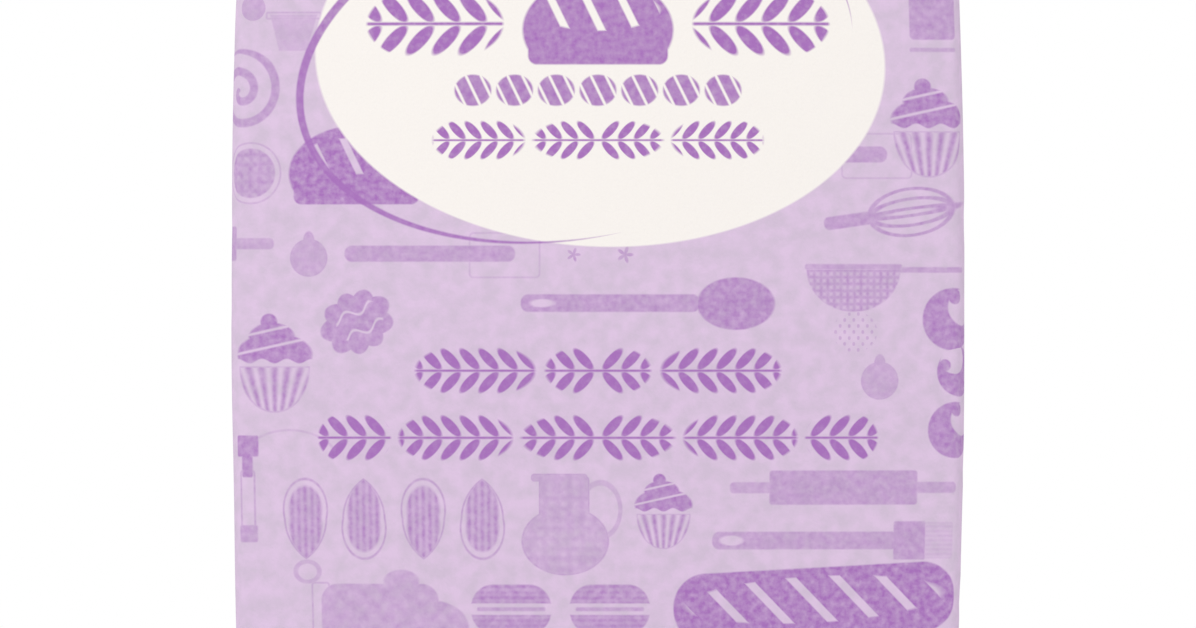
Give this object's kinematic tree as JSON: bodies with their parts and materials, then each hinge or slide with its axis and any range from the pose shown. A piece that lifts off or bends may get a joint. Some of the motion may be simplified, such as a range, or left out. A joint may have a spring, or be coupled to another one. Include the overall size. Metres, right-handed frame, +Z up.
{
  "type": "bag of flour",
  "caption": "Filled block-shaped paper bag of flour, closed at both ends by glued envelope folds, with creased gusset sides and a flat base to stand on.",
  "frame": {"origin": "on the floor under the middle of the bag's bounding box", "axes": "+Z up; the front panel faces -Y, and +X is to the right of someone facing the front panel"},
  "size_m": [0.146, 0.096, 0.23],
  "materials": {
    "printed_paper": "matt uncoated bag paper with a soft tonal print"
  },
  "bodies": {
    "root": {"flour_bag": "printed_paper"}
  },
  "joints": []
}
